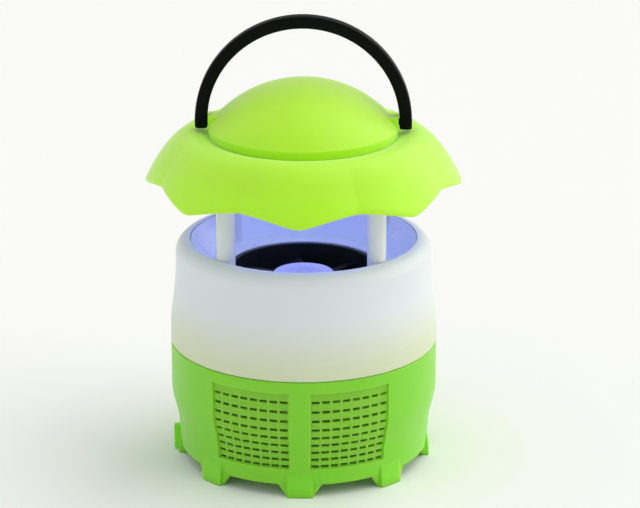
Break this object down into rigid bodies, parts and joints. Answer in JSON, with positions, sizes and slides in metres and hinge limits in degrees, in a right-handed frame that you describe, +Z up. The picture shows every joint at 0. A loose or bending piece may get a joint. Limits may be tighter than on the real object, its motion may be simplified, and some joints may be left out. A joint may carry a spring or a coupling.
{
  "type": "electric insect trap",
  "caption": "Suction insect trap: lobed lime cap with folding bail handle over a lit intake, white housing with a fan, twist-off grilled lime basket on feet.",
  "frame": {"origin": "middle of the underside, on the surface that the feet stand on", "axes": "+Z up along the fan's axis, front towards -Y, power socket at the back (+Y), handle pivots along X"},
  "size_m": [0.1524, 0.1524, 0.2221],
  "materials": {
    "lime_basket": "satin moulded plastic",
    "white_housing": "satin moulded plastic",
    "white_intake": "smooth moulded plastic",
    "lime_cap": "translucent satin moulded plastic",
    "circuit_board": "solder mask",
    "violet_lamp": "clear lit resin",
    "black_component": "matt",
    "black_plastic": "satin",
    "black_fan": "satin",
    "white_hub": "satin",
    "steel": "zinc plated",
    "bronze": "sintered",
    "lamination_steel": "stacked laminations",
    "copper_wire": "enamelled",
    "magnet": "ferrite",
    "lead_jacket": "matt jacket"
  },
  "bodies": {
    "head": {"upper_housing": "white_housing", "intake_funnel": "white_intake", "intake_posts": "white_intake", "lamp_plate": "white_intake", "led_board": "circuit_board", "uv_leds": "violet_lamp", "led_resistors": "black_component", "petal_skirt": "lime_cap", "crown": "lime_cap", "cap_screws": "steel", "post_screws": "steel", "fan_frame": "black_fan", "fan_bearing": "bronze", "stator_core": "lamination_steel", "stator_windings": "copper_wire", "fan_driver_board": "circuit_board", "fan_screws": "steel", "power_board": "circuit_board", "board_components": "black_component", "board_screws": "steel", "power_socket": "black_plastic", "socket_pin": "steel", "switch_body": "black_plastic", "switch_terminals": "steel", "lamp_lead": "lead_jacket", "fan_lead": "lead_jacket"},
    "handle": {"carry_handle": "black_plastic"},
    "rotor": {"fan_impeller": "black_fan", "hub_cap": "white_hub", "rotor_yoke": "steel", "rotor_magnet": "magnet", "rotor_shaft": "steel"},
    "basket": {"collection_basket": "lime_basket"},
    "rocker": {"switch_rocker": "black_plastic"}
  },
  "joints": [
    {"name": "handle_swing", "type": "hinge", "parent": "head", "child": "handle", "pos_m": [0, 0, 0.17], "axis": [1, 0, 0], "range_deg": [-88, 88]},
    {"name": "fan_spin", "type": "hinge", "parent": "head", "child": "rotor", "pos_m": [0, 0, 0.08], "axis": [0, 0, 1], "continuous": true},
    {"name": "basket_twist", "type": "hinge", "parent": "head", "child": "basket", "pos_m": [0, 0, 0.0605], "axis": [0, 0, 1], "range_deg": [0, 15]},
    {"name": "rocker_tilt", "type": "hinge", "parent": "head", "child": "rocker", "pos_m": [0.0088, 0.05942, 0.078], "axis": [0, 0, 1], "range_deg": [-16, 0]}
  ]
}
